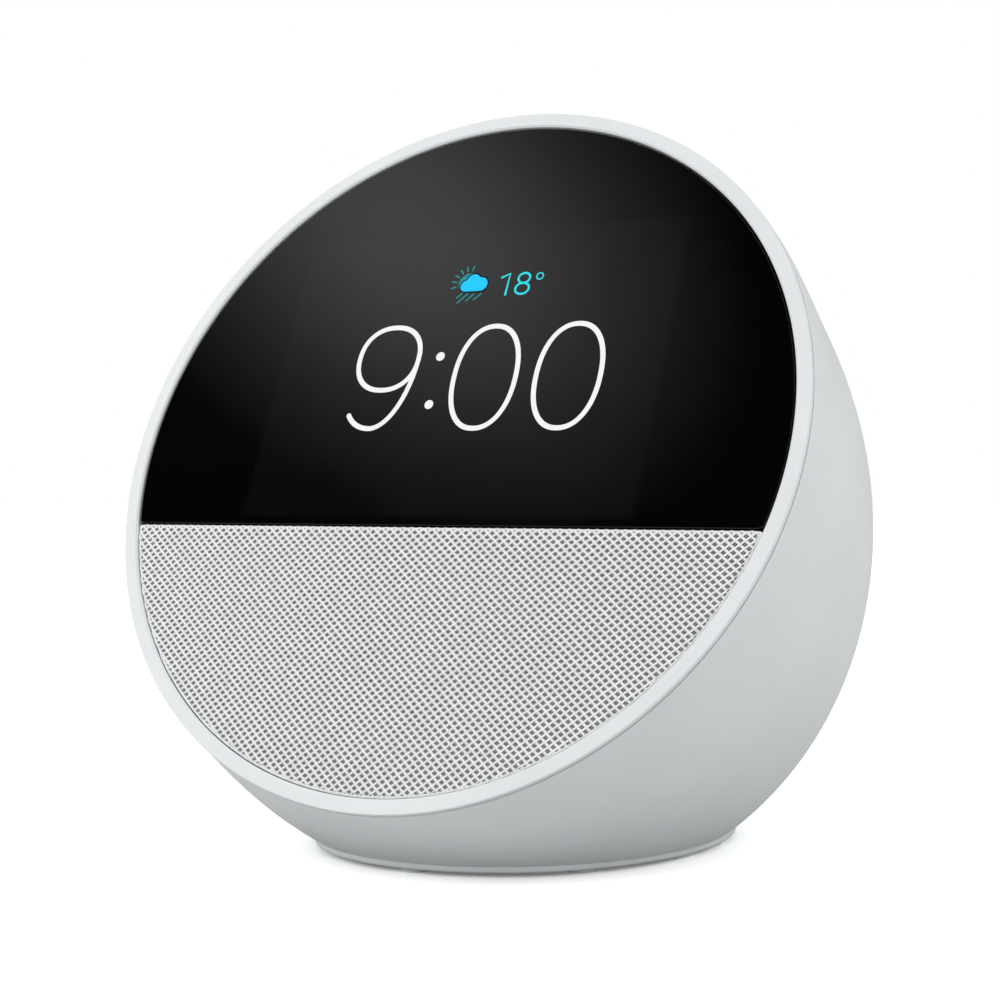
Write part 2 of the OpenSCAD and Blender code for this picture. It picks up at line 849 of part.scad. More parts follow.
front_ring();
cover_glass();
grille_cloth();
grille_frame();
face_frame();
face_screws();
glass_adhesive();
optical_adhesive();
display_panel();
display_backlight();
display_foam();
display_bracket();
bracket_screws();
display_ribbon();
rear_shell();
base_plate();
base_screws();
foot_pads();
speaker_gasket();
speaker_basket();
speaker_surround();
speaker_cone();
speaker_dust_cap();
speaker_voice_coil();
speaker_spider();
speaker_top_plate();
speaker_magnet();
speaker_yoke();
speaker_enclosure();
enclosure_screws();
speaker_lead();
main_board();
board_screws();
board_connectors();
processor();
processor_shield();
radio_module();
radio_shield();
thermal_pad();
heat_spreader();
volume_down_button();
microphone_mute_button();
volume_up_button();
volume_down_actuator();
microphone_mute_actuator();
volume_up_actuator();
button_switches();
button_board();
button_carrier();
carrier_screws();
microphones();
microphone_boards();
microphone_gaskets();
antennas();
power_jack();
power_jack_pin();
power_board();
power_board_screws();
power_lead();
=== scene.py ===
import json
import math

import bmesh
import bpy
from mathutils import Matrix, Vector


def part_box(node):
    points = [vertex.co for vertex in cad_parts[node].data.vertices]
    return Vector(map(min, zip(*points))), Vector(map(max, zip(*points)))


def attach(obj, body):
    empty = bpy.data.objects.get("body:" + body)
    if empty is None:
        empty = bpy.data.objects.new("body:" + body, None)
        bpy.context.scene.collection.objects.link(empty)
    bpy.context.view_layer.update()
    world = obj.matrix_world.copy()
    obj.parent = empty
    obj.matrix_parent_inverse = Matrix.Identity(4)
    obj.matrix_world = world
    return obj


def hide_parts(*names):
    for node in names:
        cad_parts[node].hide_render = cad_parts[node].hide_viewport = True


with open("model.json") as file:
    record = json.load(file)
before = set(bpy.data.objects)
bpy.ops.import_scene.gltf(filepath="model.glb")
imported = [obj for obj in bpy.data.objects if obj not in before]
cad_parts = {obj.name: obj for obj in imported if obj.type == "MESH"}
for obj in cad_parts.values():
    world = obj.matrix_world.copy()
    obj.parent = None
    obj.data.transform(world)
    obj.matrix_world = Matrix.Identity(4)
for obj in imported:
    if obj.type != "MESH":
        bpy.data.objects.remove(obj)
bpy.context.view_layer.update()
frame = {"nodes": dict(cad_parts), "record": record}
MM = 0.001


# ---- Place of the face, and the camera ----
# The round face leans back from upright. Its middle is worked out from the display panel,
# which lies parallel to it, and the camera looks at it from the right, at the object's height.

FACE_TILT = math.radians(24.4)
SCREEN_RISE = 12 * MM
PANEL_DEPTH = 2.2 * MM
CAMERA_AZIMUTH = math.radians(29.347)
CAMERA_ELEVATION = math.radians(0.262)
CAMERA_DISTANCE = 300 * MM
CAMERA_SIDE = 8.356 * MM
CAMERA_HEIGHT = 52.976 * MM
CAMERA_LENS = 73.702

panel_low, panel_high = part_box("display_panel")
face_turn = Matrix.Rotation(math.pi / 2 - FACE_TILT, 4, "X")
face_centre = (panel_low + panel_high) / 2 - face_turn @ Vector((0, SCREEN_RISE, -PANEL_DEPTH))
at_face = Matrix.Translation(face_centre) @ face_turn

side_way = Vector((math.cos(CAMERA_AZIMUTH), math.sin(CAMERA_AZIMUTH), 0))
back_way = Vector((
    math.sin(CAMERA_AZIMUTH) * math.cos(CAMERA_ELEVATION),
    -math.cos(CAMERA_AZIMUTH) * math.cos(CAMERA_ELEVATION),
    math.sin(CAMERA_ELEVATION),
))
camera = bpy.data.objects.new("camera", bpy.data.cameras.new("camera"))
camera.data.lens = CAMERA_LENS
camera.location = (
    Vector((0, face_centre.y, CAMERA_HEIGHT)) + side_way * CAMERA_SIDE + back_way * CAMERA_DISTANCE
)
camera.rotation_mode = "QUATERNION"
camera.rotation_quaternion = (-back_way).to_track_quat("-Z", "Y")
bpy.context.scene.collection.objects.link(camera)
bpy.context.scene.camera = camera
bpy.context.scene.view_settings.view_transform = "Standard"


# ---- Studio ----
# A white sweep, a pale sky that is brighter overhead, two soft lights, and a soft card that
# only the gloss of the front glass mirrors.

FLOOR_HALF = 6.0
FLOOR_BOUNCE = 0.62
PAPER_WHITE = 1.6
PAPER_GLOW = 0.10
SKY_LOW = 0.68
SKY_SIDE = 0.82
SKY_TOP = 1.02
SKY_IN_GLOSS = 0.02
KEY_AT = Vector((-0.27, -0.31, 0.23))
KEY_POWER = 0.46
FILL_AT = Vector((0.85, 0.25, 0.60))
FILL_POWER = 1.1
LIGHT_SIZE = 0.28
CARD_DISTANCE = 0.45
CARD_HALF = 0.20
CARD_GLOW = 1.08
CARD_SPREAD = (140 * MM, 100 * MM)
CARD_FADE = (1, 0.88, 0.61, 0.32, 0.13, 0)
GLOW_ON_GLASS = Vector((-14 * MM, 36 * MM, 0))


def add(tree, kind, **values):
    """A shader node with some of its inputs set, underscores standing for spaces."""
    node = tree.nodes.new(kind)
    for key, value in values.items():
        node.inputs[key.replace("_", " ")].default_value = value
    return node


def ramp(tree, source, stops):
    """Colours spread over a value from 0 to 1, as (position, colour) pairs."""
    node = tree.nodes.new("ShaderNodeValToRGB")
    while len(node.color_ramp.elements) < len(stops):
        node.color_ramp.elements.new(1.0)
    for element, (position, colour) in zip(node.color_ramp.elements, stops):
        element.position = position
        element.color = (*colour, 1)
    tree.links.new(source, node.inputs["Fac"])
    return node.outputs["Color"]


def grey(value):
    return (value, value, value)


sky = bpy.data.worlds.new("sky")
sky.use_nodes = True
bpy.context.scene.world = sky
tree = sky.node_tree
direction = add(tree, "ShaderNodeTexCoord")
split = add(tree, "ShaderNodeSeparateXYZ")
tree.links.new(direction.outputs["Generated"], split.inputs["Vector"])
height = add(tree, "ShaderNodeMapRange", From_Min=-1)
tree.links.new(split.outputs["Z"], height.inputs["Value"])
shade = ramp(tree, height.outputs["Result"], [
    (0, grey(SKY_LOW)), (0.5, grey(SKY_SIDE)), (1, grey(SKY_TOP)),
])
rays = add(tree, "ShaderNodeLightPath")
lighting = tree.nodes["Background"]
tree.links.new(shade, lighting.inputs["Color"])
white = add(tree, "ShaderNodeBackground", Color=(1, 1, 1, 1))
dark = add(tree, "ShaderNodeBackground", Color=(*grey(SKY_IN_GLOSS), 1))
for_gloss = add(tree, "ShaderNodeMixShader")
for_camera = add(tree, "ShaderNodeMixShader")
tree.links.new(rays.outputs["Is Glossy Ray"], for_gloss.inputs["Fac"])
tree.links.new(lighting.outputs[0], for_gloss.inputs[1])
tree.links.new(dark.outputs[0], for_gloss.inputs[2])
tree.links.new(rays.outputs["Is Camera Ray"], for_camera.inputs["Fac"])
tree.links.new(for_gloss.outputs[0], for_camera.inputs[1])
tree.links.new(white.outputs[0], for_camera.inputs[2])
tree.links.new(for_camera.outputs[0], tree.nodes["World Output"].inputs["Surface"])


def show(name, bm, material, smooth_below=35):
    """Makes an object of a bmesh, smooth except at edges sharper than an angle in degrees."""
    mesh = bpy.data.meshes.new(name)
    bm.to_mesh(mesh)
    bm.free()
    mesh.polygons.foreach_set("use_smooth", [True] * len(mesh.polygons))
    mesh.set_sharp_from_angle(angle=math.radians(smooth_below))
    mesh.materials.append(material)
    thing = bpy.data.objects.new(name, mesh)
    bpy.context.scene.collection.objects.link(thing)
    return thing


paper = bpy.data.materials.new("sweep_paper")
paper.use_nodes = True
tree = paper.node_tree
shader = tree.nodes["Principled BSDF"]
shader.inputs["Base Color"].default_value = (*grey(PAPER_WHITE), 1)
shader.inputs["Roughness"].default_value = 0.9
shader.inputs["Specular IOR Level"].default_value = 0
shader.inputs["Emission Color"].default_value = (1, 1, 1, 1)
shader.inputs["Emission Strength"].default_value = PAPER_GLOW
bounce = add(tree, "ShaderNodeBsdfDiffuse", Color=(*grey(FLOOR_BOUNCE), 1))
rays = add(tree, "ShaderNodeLightPath")
seen = add(tree, "ShaderNodeMixShader")
tree.links.new(rays.outputs["Is Camera Ray"], seen.inputs["Fac"])
tree.links.new(bounce.outputs[0], seen.inputs[1])
tree.links.new(shader.outputs[0], seen.inputs[2])
tree.links.new(seen.outputs[0], tree.nodes["Material Output"].inputs["Surface"])
bm = bmesh.new()
bmesh.ops.create_grid(bm, x_segments=1, y_segments=1, size=FLOOR_HALF)
floor = show("floor", bm, paper)

for name, place, power in (("key", KEY_AT, KEY_POWER), ("fill", FILL_AT, FILL_POWER)):
    light = bpy.data.lights.new(name, "AREA")
    light.energy = power
    light.size = LIGHT_SIZE
    lamp = bpy.data.objects.new(name, light)
    lamp.location = place
    lamp.rotation_mode = "QUATERNION"
    lamp.rotation_quaternion = (face_centre - place).to_track_quat("-Z", "Y")
    lamp.visible_glossy = False
    bpy.context.scene.collection.objects.link(lamp)

glow_point = at_face @ GLOW_ON_GLASS
normal = face_turn @ Vector((0, 0, 1))
sight = (glow_point - camera.location).normalized()
mirrored = sight - 2 * sight.dot(normal) * normal
soft_card = bpy.data.materials.new("soft_card")
soft_card.use_nodes = True
tree = soft_card.node_tree
tree.nodes.remove(tree.nodes["Principled BSDF"])
across = add(tree, "ShaderNodeTexCoord")
fit = add(tree, "ShaderNodeMapping", Scale=(1 / CARD_SPREAD[0], 1 / CARD_SPREAD[1], 1))
tree.links.new(across.outputs["Object"], fit.inputs["Vector"])
distance = add(tree, "ShaderNodeVectorMath")
distance.operation = "LENGTH"
tree.links.new(fit.outputs["Vector"], distance.inputs[0])
fade = [(i / (len(CARD_FADE) - 1), grey(level)) for i, level in enumerate(CARD_FADE)]
falloff = ramp(tree, distance.outputs["Value"], fade)
glow = add(tree, "ShaderNodeEmission", Strength=CARD_GLOW)
tree.links.new(falloff, glow.inputs["Color"])
tree.links.new(glow.outputs[0], tree.nodes["Material Output"].inputs["Surface"])
bm = bmesh.new()
bmesh.ops.create_grid(bm, x_segments=1, y_segments=1, size=CARD_HALF)
card = show("card", bm, soft_card)
card.location = glow_point + mirrored * CARD_DISTANCE
card.rotation_mode = "QUATERNION"
card.rotation_quaternion = (-mirrored).to_track_quat("Z", "Y")
card.visible_camera = False
card.visible_diffuse = False
card.visible_shadow = False
card.visible_transmission = False


# ---- Front ring ----
# The pale moulded ring that frames the glass and the cloth. It is injection moulded with a
# fine spark-eroded grain, and its spigot clips into the mouth of the rear shell.

RING_R = 56.5 * MM
RING_IN = 54.2 * MM
RING_LIP = 0.55 * MM
SEAM = 0.28 * MM
RING_EDGE = 0.22 * MM
RING_CHAMFER = 0.25 * MM
SPIGOT_R = 55.15 * MM
SPIGOT_DEPTH = 5 * MM
SEAM_FLOOR_R = 55.7 * MM
PALE = (0.775, 0.805, 0.815)


def arc(centre, radii, start, end, steps):
    """Points along an arc of a circle or an ellipse, angles in degrees."""
    for i in range(steps + 1):
        angle = math.radians(start + (end - start) * i / steps)
        yield (centre[0] + radii[0] * math.cos(angle), centre[1] + radii[1] * math.sin(angle))


def turned(outline, steps=192, closed=True):
    """A bmesh spun about Z from an outline of (radius, height) points."""
    bm = bmesh.new()
    corners = [bm.verts.new((r, 0, z)) for r, z in outline]
    pairs = list(zip(corners, corners[1:]))
    if closed:
        pairs.append((corners[-1], corners[0]))
    edges = [bm.edges.new(pair) for pair in pairs]
    bmesh.ops.spin(
        bm, geom=corners + edges, cent=(0, 0, 0), axis=(0, 0, 1),
        angle=2 * math.pi, steps=steps, use_merge=True,
    )
    bmesh.ops.remove_doubles(bm, verts=bm.verts, dist=1e-6)
    bmesh.ops.dissolve_degenerate(bm, edges=bm.edges, dist=1e-7)
    bmesh.ops.recalc_face_normals(bm, faces=bm.faces)
    return bm


def fit_piece(name, bm, material, place=None, body="housing", stands_for=(), smooth_below=35):
    """Shows a piece in its place, riding on its body and standing for CAD nodes."""
    if place is not None:
        bmesh.ops.transform(bm, matrix=place, verts=bm.verts)
    thing = show(name, bm, material, smooth_below)
    weighted = thing.modifiers.new("even_normals", "WEIGHTED_NORMAL")
    weighted.keep_sharp = True
    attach(thing, body)
    if stands_for:
        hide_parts(*stands_for)
    return thing


def empty_finish(name, roughness, metallic=0.0, specular=0.5):
    """A named material, with its node tree and its principled shader."""
    material = bpy.data.materials.new(name)
    material.use_nodes = True
    shader = material.node_tree.nodes["Principled BSDF"]
    shader.inputs["Roughness"].default_value = roughness
    shader.inputs["Metallic"].default_value = metallic
    shader.inputs["Specular IOR Level"].default_value = specular
    return material, material.node_tree, shader


def noise(tree, scale, detail=2.0, stretch=(1, 1, 1)):
    """Noise over the piece's own coordinates, in features per metre."""
    place = add(tree, "ShaderNodeTexCoord")
    fit = add(tree, "ShaderNodeMapping", Scale=stretch)
    tree.links.new(place.outputs["Object"], fit.inputs["Vector"])
    cloud = add(tree, "ShaderNodeTexNoise", Scale=scale, Detail=detail)
    tree.links.new(fit.outputs["Vector"], cloud.inputs["Vector"])
    return cloud.outputs["Fac"]


def tinted(colour, by):
    return tuple(max(0.0, c * by) for c in colour)


def relief(tree, shader, source, strength, distance):
    """Fine relief on a shader from a height between 0 and 1."""
    bump = add(tree, "ShaderNodeBump", Strength=strength, Distance=distance)
    tree.links.new(source, bump.inputs["Height"])
    tree.links.new(bump.outputs["Normal"], shader.inputs["Normal"])


def moulded(name, colour, roughness=0.6, grain=3600, depth=0.25, patch=60, spread=0.025):
    """Moulded plastic with a fine spark-eroded grain and a faint flow tone."""
    material, tree, shader = empty_finish(name, roughness, specular=0.35)
    tone = noise(tree, patch, 3)
    colours = [(0.3, tinted(colour, 1 - spread)), (0.7, tinted(colour, 1 + spread))]
    tree.links.new(ramp(tree, tone, colours), shader.inputs["Base Color"])
    pits = noise(tree, grain, 3)
    matt = add(tree, "ShaderNodeMapRange", To_Min=roughness - 0.08, To_Max=roughness + 0.08)
    tree.links.new(pits, matt.inputs["Value"])
    tree.links.new(matt.outputs["Result"], shader.inputs["Roughness"])
    relief(tree, shader, pits, depth, 0.03 * MM)
    return material


pale_plastic = moulded("pale_plastic", PALE)

outline = [
    (RING_IN, -SPIGOT_DEPTH),
    (RING_IN, -RING_CHAMFER),
    (RING_IN + RING_CHAMFER, 0),
    *arc((RING_R - RING_EDGE, -RING_EDGE), (RING_EDGE, RING_EDGE), 90, 0, 6),
    (RING_R, -RING_LIP),
    (SEAM_FLOOR_R, -RING_LIP),
    (SEAM_FLOOR_R, -RING_LIP - SEAM),
    (SPIGOT_R, -RING_LIP - SEAM),
    (SPIGOT_R, -SPIGOT_DEPTH),
]
fit_piece("front_ring_piece", turned(outline, 256), pale_plastic, at_face,
          stands_for=["front_ring"])


# ---- Cover glass ----
# A cut segment of toughened glass, ground and polished round its edge and printed black
# behind. The lit area of the display shows through it as a barely lighter rectangle.

GLASS_R = 53.85 * MM
GLASS_SINK = 0.3 * MM
GLASS_THICK = 1.1 * MM
GLASS_LINE = -13.32 * MM
GLASS_CORNER = 0.9 * MM
GLASS_ROUND = 0.12 * MM
LIT_HALF = (33 * MM, 24 * MM)
LIT_SOFT = 0.4 * MM
LIT_COLOUR = (0.0036, 0.0036, 0.0040)
GLASS_TONES = (0.0010, 0.0016)


def cut_disc(radius, line, above, corner, steps=288):
    """A flat disc cut straight across, with its two corners rounded."""
    bm = bmesh.new()
    bmesh.ops.create_circle(bm, cap_ends=True, segments=steps, radius=radius)
    bmesh.ops.bisect_plane(
        bm, geom=bm.verts[:] + bm.edges[:] + bm.faces[:], dist=1e-7, plane_co=(0, line, 0),
        plane_no=(0, -1 if above else 1, 0), clear_outer=True,
    )
    tips = sorted(bm.verts, key=lambda v: (abs(v.co.y - line) > 1e-6, -abs(v.co.x)))[:2]
    bmesh.ops.bevel(
        bm, geom=tips, offset=corner, affect="VERTICES", segments=6, profile=0.5, material=-1,
    )
    return bm


def thicken(bm, thickness, rounding, back_rounding=None):
    """Gives a flat piece its thickness behind it, and rounds the outline of each side."""
    bmesh.ops.recalc_face_normals(bm, faces=bm.faces)
    front = bm.faces[:]
    if front[0].normal.z > 0:
        bmesh.ops.reverse_faces(bm, faces=front)
    grown = bmesh.ops.extrude_face_region(bm, geom=front, use_keep_orig=True)
    moved = [v for v in grown["geom"] if isinstance(v, bmesh.types.BMVert)]
    bmesh.ops.translate(bm, verts=moved, vec=(0, 0, -thickness))
    bmesh.ops.recalc_face_normals(bm, faces=bm.faces)
    rims = [e for e in bm.edges if len(e.link_faces) == 2 and e.calc_face_angle() > 1.0]
    for height, offset in ((0, rounding), (-thickness, back_rounding or rounding)):
        outline = [e for e in rims if e.is_valid and all(abs(v.co.z - height) < 1e-7 for v in e.verts)]
        bmesh.ops.bevel(
            bm, geom=outline, offset=offset, affect="EDGES", segments=4, profile=0.5, material=-1,
        )
    return bm


def on_face(height):
    """A place square to the face, at a height above the ring's land."""
    return at_face @ Matrix.Translation((0, 0, height))


def maths(tree, operation, *sources):
    """A sum worked out from one or two values."""
    node = add(tree, "ShaderNodeMath")
    node.operation = operation
    for i, source in enumerate(sources):
        tree.links.new(source, node.inputs[i])
    return node.outputs[0]


def face_coordinates(tree):
    """The piece's own coordinates turned to the face: X across, Y up, Z out of the screen."""
    place = add(tree, "ShaderNodeTexCoord")
    turn = add(tree, "ShaderNodeMapping")
    turn.vector_type = "TEXTURE"
    turn.inputs["Location"].default_value = at_face @ Vector((0, SCREEN_RISE, 0))
    turn.inputs["Rotation"].default_value = at_face.to_euler()
    tree.links.new(place.outputs["Object"], turn.inputs["Vector"])
    return turn.outputs["Vector"]


black_glass, tree, shader = empty_finish("black_glass", 0.06)
shader.inputs["IOR"].default_value = 1.5
sides = add(tree, "ShaderNodeSeparateXYZ")
tree.links.new(face_coordinates(tree), sides.inputs["Vector"])
within = []
for axis, half in zip("XY", LIT_HALF):
    edge = add(
        tree, "ShaderNodeMapRange", From_Min=half - LIT_SOFT, From_Max=half + LIT_SOFT,
        To_Min=1, To_Max=0,
    )
    tree.links.new(maths(tree, "ABSOLUTE", sides.outputs[axis]), edge.inputs["Value"])
    within.append(edge.outputs["Result"])
uneven = maths(tree, "MULTIPLY", maths(tree, "MULTIPLY", *within), noise(tree, 90, 2))
tree.links.new(ramp(tree, uneven, [(0, grey(0)), (1, LIT_COLOUR)]), shader.inputs["Emission Color"])
shader.inputs["Emission Strength"].default_value = 1
smudge = add(tree, "ShaderNodeMapRange", To_Min=0.04, To_Max=0.10)
tree.links.new(noise(tree, 120, 4), smudge.inputs["Value"])
tree.links.new(smudge.outputs["Result"], shader.inputs["Roughness"])
tones = [(0.3, grey(GLASS_TONES[0])), (0.7, grey(GLASS_TONES[1]))]
tree.links.new(ramp(tree, noise(tree, 40, 2), tones), shader.inputs["Base Color"])

bm = thicken(cut_disc(GLASS_R, GLASS_LINE, True, GLASS_CORNER), GLASS_THICK, GLASS_ROUND)
fit_piece("cover_glass_piece", bm, black_glass, on_face(-GLASS_SINK),
          stands_for=["cover_glass"])


# ---- The clock and the weather ----
# What the display shows: a clock in thin round-ended strokes, a small cloud with sun and rain,
# and the temperature. Each is a thin film at the face of the glass, lit from behind, and the
# drawing's own sizes and places are in millimetres from the middle of the face.

PICTURE_LIFT = 0.012 * MM
LAYER_STEP = 0.012 * MM
FILM_THICK = 0.4 * LAYER_STEP
STROKE = 0.405 * MM
THIN_STROKE = 0.185 * MM
FINE_STROKE = 0.115 * MM
FULLNESS = 2.22
NOUGHT = (5.25, 8.45)
NOUGHT_AT = ((4.35, 10.62), (18.24, 10.46))
NINE_LOOP = ((-13.2, 14.2), (5.3, 5.35))
NINE_BACK = ((-13.8, 14.6), (5.88, 12.2))
NINE_HOOK = ((-13.8, 7.2), (4.9, 4.8))
COLON_AT = ((-4.13, 14.28), (-4.15, 6.23))
COLON_R = 0.74
SUN_AT = (-2.25, 26.75)
SUN_R = 1.7
BEAM_REACH = (2.15, 2.95)
BEAM_COUNT = 6
BEAM_FIRST = 83
BEAM_TURN = 22.5
CLOUD_GAP = 0.24
CLOUD_ARCS = (
    ((-2.55, 26.25), (0.95, 0.95), -90, -245, 14),
    ((-1.4, 27.1), (1.13, 1.13), 168, 32, 14),
    ((0.0, 26.45), (1.12, 1.15), 84, -90, 18),
)
RAIN = (
    ((-3.77, 24.26), (-3.0, 25.01)),
    ((-3.48, 23.39), (-1.95, 24.88)),
    ((-2.02, 23.67), (-0.85, 24.82)),
    ((-0.68, 23.81), (0.38, 24.83)),
)
ONE = ((3.45, 27.4), (4.75, 28.0), (4.65, 24.4))
EIGHT = (((7.32, 27.12), (0.98, 0.86)), ((7.32, 25.33), (1.16, 0.94)))
DEGREE_AT = (9.95, 27.3)
DEGREE_R = 0.55


def lit_film(name, colour, strength):
    """Light from the display, with the faint unevenness of its backlight."""
    material, tree, shader = empty_finish(name, 0.4)
    tree.links.new(
        ramp(tree, noise(tree, 400, 2), [(0.3, tinted(colour, 0.96)), (0.7, colour)]),
        shader.inputs["Emission Color"],
    )
    shader.inputs["Emission Strength"].default_value = strength
    tree.links.new(
        ramp(tree, noise(tree, 400, 2), [(0, tinted(colour, 0.1)), (1, tinted(colour, 0.12))]),
        shader.inputs["Base Color"],
    )
    return material


def loop(centre, half, steps):
    """The points of a closed ellipse."""
    return list(arc(centre, half, 0, 360, steps))[:-1]


def full_loop(centre, half, steps=72):
    """A closed loop a little fuller than an ellipse."""
    for x, y in loop((0, 0), (1, 1), steps):
        yield (
            centre[0] + half[0] * math.copysign(abs(x) ** (2 / FULLNESS), x),
            centre[1] + half[1] * math.copysign(abs(y) ** (2 / FULLNESS), y),
        )


def wire(paths, radius):
    """A bmesh of round wire along flat (points, closed) paths."""
    curve = bpy.data.curves.new("wire", "CURVE")
    curve.dimensions = "3D"
    curve.bevel_depth = radius
    curve.bevel_resolution = 3
    curve.use_fill_caps = True
    for points, closed in paths:
        line = curve.splines.new("POLY")
        line.points.add(len(points) - 1)
        line.use_cyclic_u = closed
        for spot, (x, y) in zip(line.points, points):
            spot.co = (x, y, 0, 1)
    rough = bpy.data.objects.new("wire", curve)
    bm = bmesh.new()
    bm.from_mesh(rough.to_mesh())
    bpy.data.objects.remove(rough)
    return bm


def show_on_glass(name, bm, material, height):
    """Places a flat piece of the picture at a height above the glass."""
    fit_piece(name, bm, material, on_face(-GLASS_SINK + PICTURE_LIFT + height),
              smooth_below=60)


def strokes(name, paths, width, material):
    """Round-ended strokes of one width along (points, closed) paths given in millimetres."""
    paths = [([(x * MM, y * MM) for x, y in points], closed) for points, closed in paths]
    bm = wire(paths, width)
    for points, closed in paths:
        if not closed:
            for x, y in (points[0], points[-1]):
                bmesh.ops.create_uvsphere(
                    bm, u_segments=16, v_segments=8, radius=width,
                    matrix=Matrix.Translation((x, y, 0)),
                )
    bmesh.ops.scale(bm, vec=(1, 1, FILM_THICK / (2 * width)), verts=bm.verts)
    show_on_glass(name, bm, material, 0)


def flat_shape(name, points, material, layer=0):
    """A filled flat outline, given in millimetres."""
    bm = bmesh.new()
    corners = [bm.verts.new((x * MM, y * MM, 0)) for x, y in points]
    bm.faces.new(corners)
    thicken(bm, FILM_THICK, FILM_THICK / 4)
    show_on_glass(name, bm, material, layer * LAYER_STEP + FILM_THICK / 2)


white_light = lit_film("clock_light", (0.84, 0.84, 0.84), 1.0)
cyan_light = lit_film("temperature_light", (0.02, 0.66, 0.76), 1.0)
cloud_light = lit_film("cloud_light", (0.0, 0.56, 1.0), 1.0)
teal_light = lit_film("sun_light", (0.02, 0.26, 0.28), 1.0)
gap_black = moulded("picture_black", grey(0.004), 0.3)

clock = [(list(full_loop(at, NOUGHT)), True) for at in NOUGHT_AT]
clock.append((list(full_loop(*NINE_LOOP)), True))
clock.append(([*arc(*NINE_BACK, 2, -90, 28), *list(arc(*NINE_HOOK, -90, -148, 12))[1:]], False))
strokes("clock_digits", clock, STROKE, white_light)
for i, at in enumerate(COLON_AT):
    flat_shape(f"clock_dot_{i + 1}", loop(at, (COLON_R, COLON_R), 40), white_light)

flat_shape("weather_sun", loop(SUN_AT, (SUN_R, SUN_R), 48), teal_light)
beams = []
for i in range(BEAM_COUNT):
    way = math.radians(BEAM_FIRST + BEAM_TURN * i)
    beam = [(SUN_AT[0] + r * math.cos(way), SUN_AT[1] + r * math.sin(way)) for r in BEAM_REACH]
    beams.append((beam, False))
strokes("weather_beams", beams, FINE_STROKE, teal_light)
for name, grow, material, layer in (
    ("weather_gap", CLOUD_GAP, gap_black, 1),
    ("weather_cloud", 0, cloud_light, 2),
):
    cloud = []
    for centre, half, start, end, steps in CLOUD_ARCS:
        cloud += arc(centre, (half[0] + grow, half[1] + grow), start, end, steps)
    flat_shape(name, cloud[::-1], material, layer)
strokes("weather_rain", [(drop, False) for drop in RAIN], FINE_STROKE, teal_light)
temperature = [(ONE, False), *((loop(centre, half, 32), True) for centre, half in EIGHT)]
strokes("temperature_digits", temperature, THIN_STROKE, cyan_light)
degree = loop(DEGREE_AT, (DEGREE_R, DEGREE_R), 24)
strokes("temperature_degree", [(degree, True)], FINE_STROKE, cyan_light)


# ---- Speaker cloth ----
# An open warp-knitted mesh of white polyester over the front of the driver. Its diamond net
# of threads is stretched over the grille frame, with fine lay-in yarns behind the holes, and
# its edge is folded round the frame.

CLOTH_LINE = -13.55 * MM
CLOTH_R = 54.05 * MM
MESH_HALF = (0.715 * MM, 0.60 * MM)
THREAD_HALF = 0.175 * MM
THREAD_THICK = 0.24 * MM
THREAD_CROWN = 0.10 * MM
NET_DEPTH = 0.12 * MM
HEM_R = 0.2 * MM
HEM_OVERLAP = 0.3 * HEM_R
HEM_DEPTH = 0.36 * MM
CLOTH_CORNER = 1.0 * MM
SMALLEST_CELL = 0.35
SMALLEST_EDGE = 0.05 * MM
YARN_HALF = 0.085 * MM
YARN_RISE = 0.5 * YARN_HALF
YARN_SWAY = 0.20 * MM
YARN_STEP = 0.30 * MM
YARN_SHORTEST = 1.2 * MM
YARN_DEPTH = 0.24 * MM
YARN_SHIFT = -0.07 * MM


def knitted(name, colour):
    """Bright polyester thread: fine fibres, a soft sheen, and a little tone from loop to loop."""
    material, tree, shader = empty_finish(name, 0.85, specular=0.2)
    shader.inputs["Sheen Weight"].default_value = 0.25
    shader.inputs["Sheen Roughness"].default_value = 0.5
    tones = [(0.3, tinted(colour, 0.93)), (0.7, tinted(colour, 1.03))]
    tree.links.new(ramp(tree, noise(tree, 700, 2), tones), shader.inputs["Base Color"])
    relief(tree, shader, noise(tree, 9000, 3, (1, 2.5, 2.5)), 0.5, 0.03 * MM)
    return material


cloth_white = knitted("knitted_cloth", (0.89, 0.90, 0.90))
# The lay-in yarns are mid grey where the net's thread is white: the grey is painted shade of the holes
# they lie in.
shaded_yarn_grey = knitted("shaded_lay_in_yarn", (0.50, 0.505, 0.51))
inner_r = CLOTH_R - HEM_OVERLAP
inner_line = CLOTH_LINE - HEM_OVERLAP

bm = bmesh.new()
cells = math.ceil(CLOTH_R / MESH_HALF[0]) + math.ceil(CLOTH_R / MESH_HALF[1])
slant = Matrix.Identity(4)
slant[0][0], slant[0][1] = MESH_HALF[0], MESH_HALF[0]
slant[1][0], slant[1][1] = MESH_HALF[1], -MESH_HALF[1]
bmesh.ops.create_grid(bm, x_segments=cells, y_segments=cells, size=cells / 2)
bmesh.ops.transform(bm, matrix=slant, verts=bm.verts)


def in_cloth(point):
    """Whether a point is within the hem."""
    return point.y < inner_line and point.xy.length < inner_r


def threaded(piece, thickness):
    """Gives a flat net or yarn the thickness of its thread, behind its face."""
    piece.modifiers.clear()
    backed = piece.modifiers.new("thread", "SOLIDIFY")
    backed.thickness = thickness
    backed.offset = -1


outside = [f for f in bm.faces if not in_cloth(f.calc_center_median())]
bmesh.ops.delete(bm, geom=outside, context="FACES")
corner_y = inner_line - CLOTH_CORNER
corner_x = math.sqrt((inner_r - CLOTH_CORNER) ** 2 - corner_y ** 2)


def keep_inside(bm):
    """Pulls what lies past the cloth's outline back onto it."""
    for v in bm.verts:
        v.co.y = min(v.co.y, inner_line)
        if v.co.xy.length > inner_r:
            v.co.xy *= inner_r / v.co.xy.length
        corner = Vector((math.copysign(corner_x, v.co.x), corner_y))
        beyond = v.co.xy - corner
        if abs(v.co.x) > corner_x and v.co.y > corner_y and beyond.length > CLOTH_CORNER:
            v.co.xy = corner + beyond * (CLOTH_CORNER / beyond.length)


